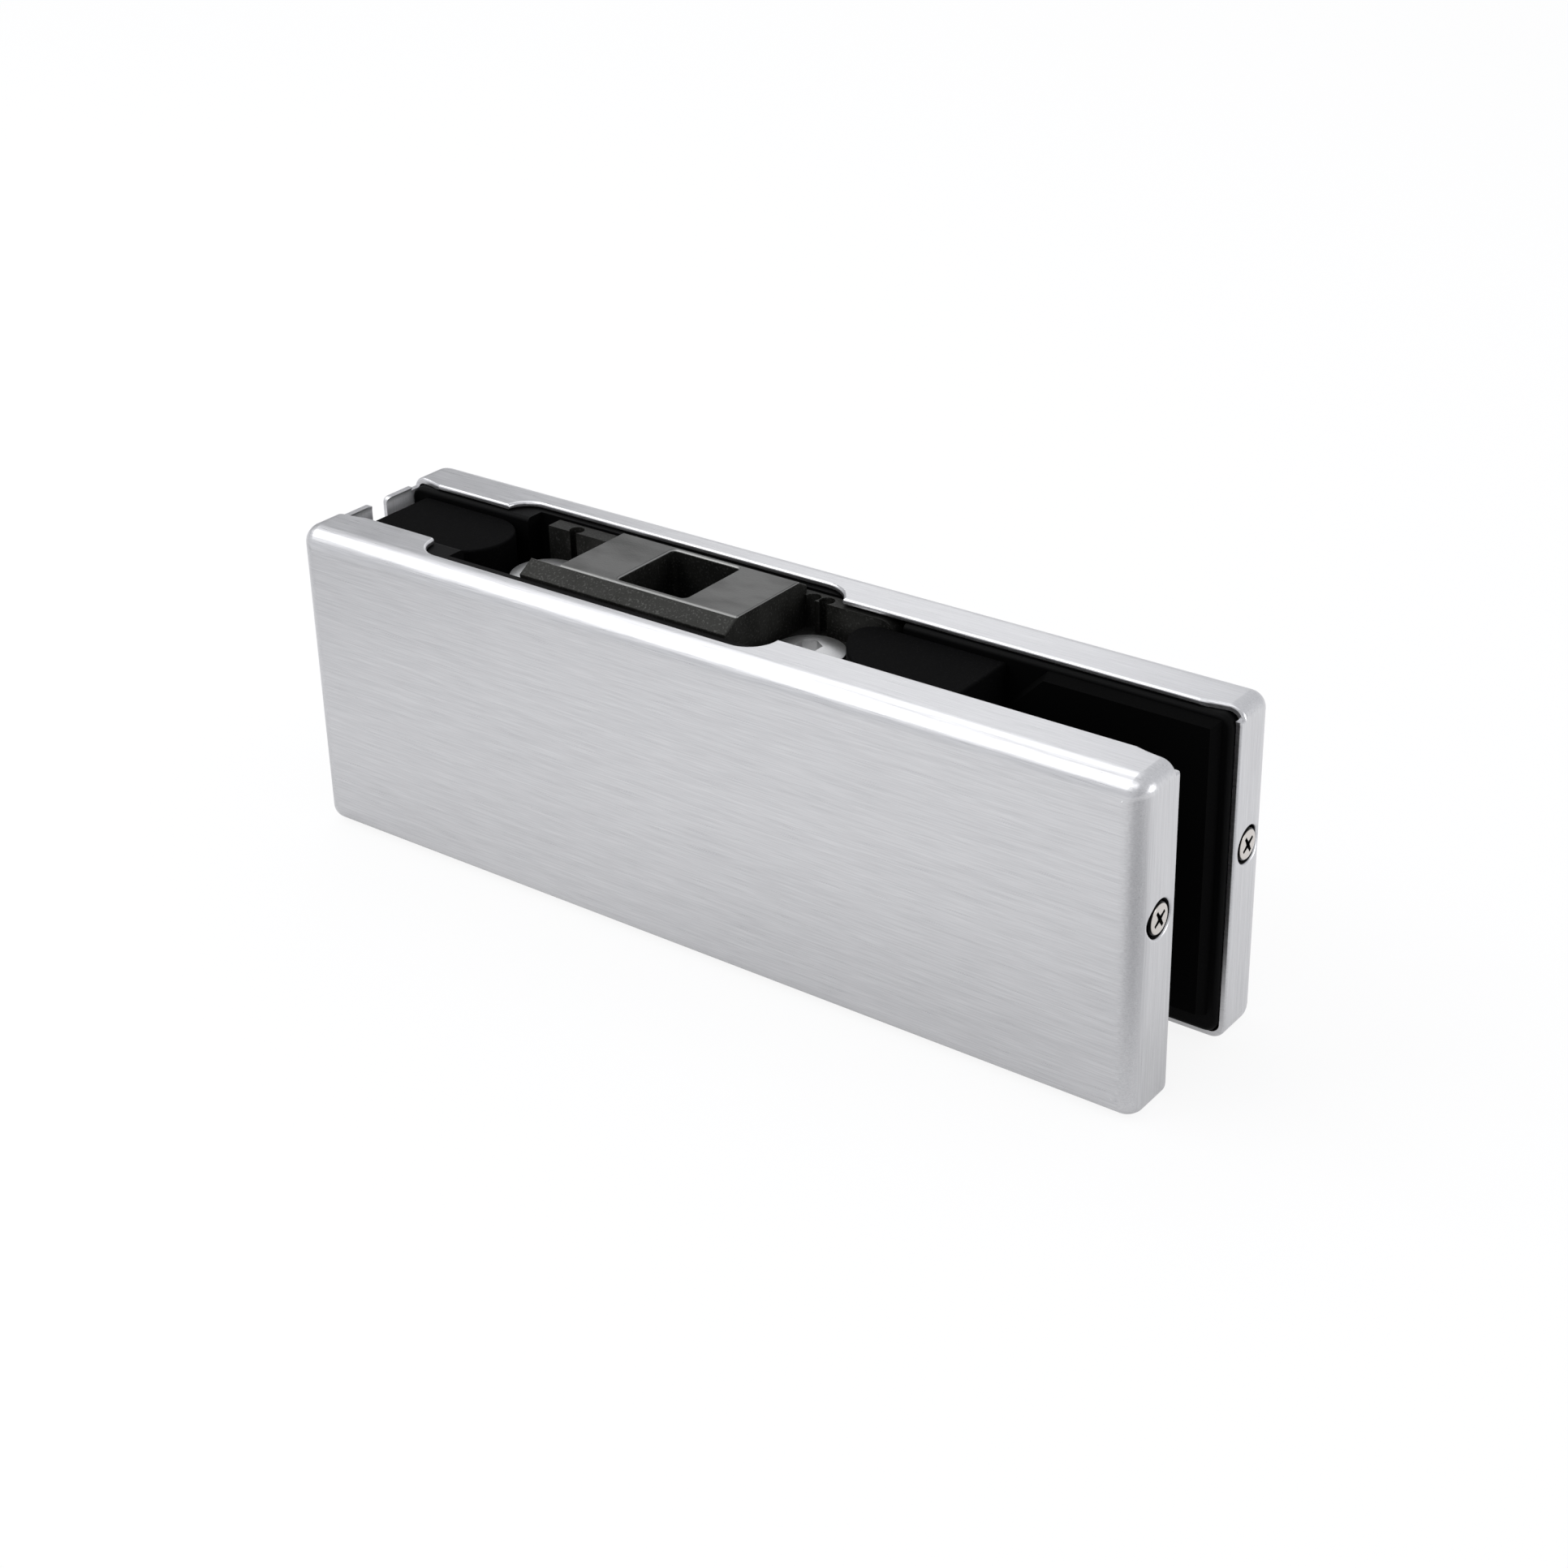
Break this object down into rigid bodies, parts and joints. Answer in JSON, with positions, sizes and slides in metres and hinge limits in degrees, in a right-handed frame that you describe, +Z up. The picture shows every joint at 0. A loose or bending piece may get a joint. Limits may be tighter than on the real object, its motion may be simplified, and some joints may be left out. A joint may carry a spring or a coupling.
{
  "type": "glass patch fitting",
  "caption": "Bottom patch fitting for a frameless glass door: steel-covered clamp halves grip the glass corner, and an adjustable pivot insert takes the spindle of a floor spring.",
  "frame": {"origin": "middle of the bottom of the bounding box: on the floor plane, halfway between the two cover faces and the two ends", "axes": "+X along the door's edge towards the open end that takes the glass, +Y through the glass towards the rear half, +Z up towards the floor side of the fitting as pictured"},
  "size_m": [0.164, 0.0376, 0.0573],
  "materials": {
    "cover_steel": "satin",
    "black_casting": "semi-matte",
    "spacer_casting": "matte",
    "insert_steel": "as cast",
    "insert_screw_zinc": "zinc plated",
    "nut_zinc": "zinc plated",
    "clamp_zinc": "zinc plated",
    "gasket_rubber": "matte",
    "cover_screw_nickel": "nickel plated"
  },
  "bodies": {
    "clamp_base": {"front_body": "black_casting", "front_cover": "cover_steel", "front_gasket": "gasket_rubber", "front_cover_screw": "cover_screw_nickel", "heel_spacer": "spacer_casting", "toe_spacer": "spacer_casting", "clamp_screw_heel": "clamp_zinc", "clamp_screw_toe": "clamp_zinc", "clamp_washer_heel": "clamp_zinc", "clamp_washer_toe": "clamp_zinc", "insert_screw_heel": "insert_screw_zinc", "insert_screw_toe": "insert_screw_zinc", "insert_nut_heel": "nut_zinc", "insert_nut_toe": "nut_zinc"},
    "rear_jaw": {"rear_body": "black_casting", "rear_cover": "cover_steel", "rear_gasket": "gasket_rubber", "rear_cover_screw": "cover_screw_nickel"},
    "insert": {"pivot_insert": "insert_steel"}
  },
  "joints": [
    {"name": "clamp_slide", "type": "slide", "parent": "clamp_base", "child": "rear_jaw", "axis": [0, 1, 0], "range_m": [0, 0.002]},
    {"name": "insert_slide", "type": "slide", "parent": "clamp_base", "child": "insert", "axis": [1, 0, 0], "range_m": [-0.0042, 0.0012]}
  ]
}
